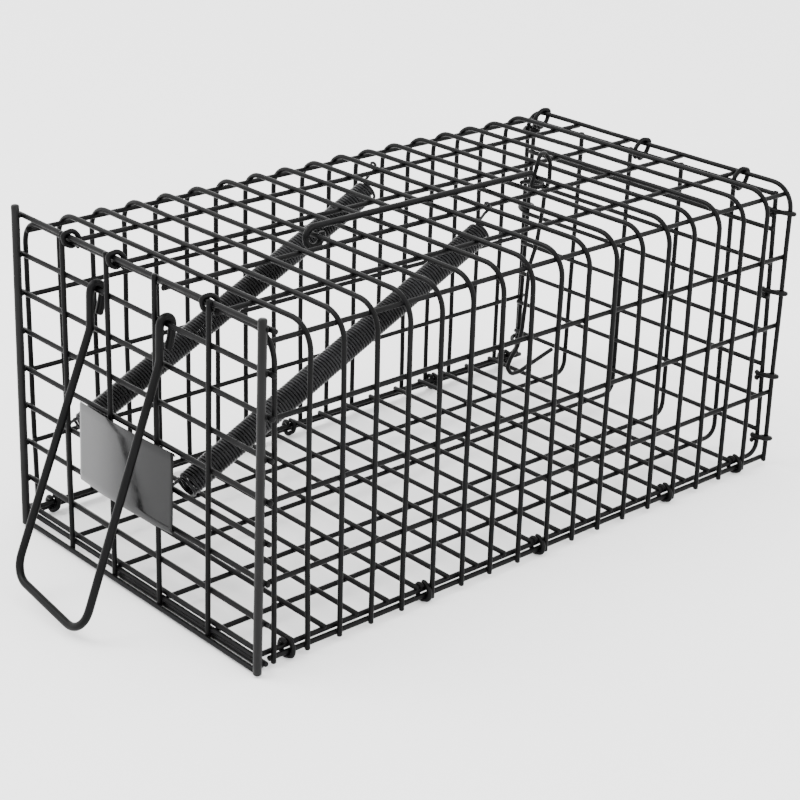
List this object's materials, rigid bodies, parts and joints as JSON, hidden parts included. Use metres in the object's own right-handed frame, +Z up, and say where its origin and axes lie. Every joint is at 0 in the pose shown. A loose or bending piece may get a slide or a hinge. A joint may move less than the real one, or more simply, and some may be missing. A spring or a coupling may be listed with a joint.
{
  "type": "live catch trap",
  "caption": "Live catch cage trap of welded wire mesh, with a sprung front door, a setting handle, a latch rod on the roof and a bait hook inside.",
  "frame": {"origin": "centre of the bounding box's bottom face, on the ground", "axes": "door faces -Y, +Z up, +X to the right when looking at the back of the door from outside the front"},
  "size_m": [0.146, 0.293, 0.1249],
  "materials": {
    "black_powder_coat": "satin",
    "grey_black_coat": "satin",
    "plate_coat": "satin",
    "spring_steel": "satin",
    "ring_steel": "satin"
  },
  "bodies": {
    "cage": {"roof_and_sides_mesh": "black_powder_coat", "floor_and_back_mesh": "black_powder_coat", "back_side_ring_left_1": "ring_steel", "back_side_ring_left_2": "ring_steel", "back_side_ring_left_3": "ring_steel", "back_side_ring_right_1": "ring_steel", "back_side_ring_right_2": "ring_steel", "back_side_ring_right_3": "ring_steel", "back_side_ring_right_4": "ring_steel", "back_top_ring_1": "ring_steel", "back_top_ring_2": "ring_steel", "back_top_ring_3": "ring_steel", "floor_ring_left_1": "ring_steel", "floor_ring_left_2": "ring_steel", "floor_ring_left_3": "ring_steel", "floor_ring_left_4": "ring_steel", "floor_ring_right_1": "ring_steel", "floor_ring_right_2": "ring_steel", "floor_ring_right_3": "ring_steel", "floor_ring_right_4": "ring_steel", "floor_ring_right_5": "ring_steel", "hinge_ring_1": "ring_steel", "hinge_ring_2": "ring_steel", "hinge_ring_3": "ring_steel"},
    "door": {"door_mesh": "black_powder_coat", "door_left_bar": "grey_black_coat", "door_right_bar": "grey_black_coat", "door_bottom_bar": "grey_black_coat", "door_plate": "plate_coat"},
    "handle": {"set_handle": "black_powder_coat"},
    "latch_rod": {"latch_rod": "black_powder_coat"},
    "bait_hook": {"bait_hook": "black_powder_coat"},
    "left_spring": {"left_spring_coil": "spring_steel", "left_spring_roof_hook": "spring_steel"},
    "left_spring_end": {"left_spring_door_hook": "spring_steel"},
    "right_spring": {"right_spring_coil": "spring_steel", "right_spring_roof_hook": "spring_steel"},
    "right_spring_end": {"right_spring_door_hook": "spring_steel"}
  },
  "joints": [
    {"name": "door_hinge", "type": "hinge", "parent": "cage", "child": "door", "pos_m": [0, -0.10674, 0.11687], "axis": [-1, 0, 0], "range_deg": [0, 85], "stiffness_Nm_per_rad": 0.12, "springref_deg": -28.65},
    {"name": "handle_hinge", "type": "hinge", "parent": "door", "child": "handle", "pos_m": [0, -0.10718, 0.10278], "axis": [-1, 0, 0], "range_deg": [0, 157]},
    {"name": "latch_rod_hinge", "type": "hinge", "parent": "cage", "child": "latch_rod", "pos_m": [0.0045, -0.03604, 0.11487], "axis": [1, 0, 0], "range_deg": [0, 155]},
    {"name": "bait_hook_hinge", "type": "hinge", "parent": "cage", "child": "bait_hook", "pos_m": [0.003, 0.07436, 0.11487], "axis": [1, 0, 0], "range_deg": [-35, 15]},
    {"name": "left_spring_swing", "type": "hinge", "parent": "cage", "child": "left_spring", "pos_m": [-0.0446, 0.03296, 0.11487], "axis": [-1, 0, 0], "range_deg": [0, 25.3]},
    {"name": "left_spring_stretch", "type": "slide", "parent": "left_spring", "child": "left_spring_end", "axis": [0, -0.9007, -0.4345], "range_m": [0, 0.0526], "deforming": ["left_spring_coil"]},
    {"name": "right_spring_swing", "type": "hinge", "parent": "cage", "child": "right_spring", "pos_m": [0.018, 0.03296, 0.11487], "axis": [-1, 0, 0], "range_deg": [0, 25.3]},
    {"name": "right_spring_stretch", "type": "slide", "parent": "right_spring", "child": "right_spring_end", "axis": [0, -0.9007, -0.4345], "range_m": [0, 0.0526], "deforming": ["right_spring_coil"]}
  ],
  "couplings": [
    {"joint": "left_spring_swing", "follows": "door_hinge", "ratio": 0.29679},
    {"joint": "left_spring_stretch", "follows": "door_hinge", "m_per_rad": 0.03541},
    {"joint": "right_spring_swing", "follows": "door_hinge", "ratio": 0.29679},
    {"joint": "right_spring_stretch", "follows": "door_hinge", "m_per_rad": 0.03541}
  ]
}
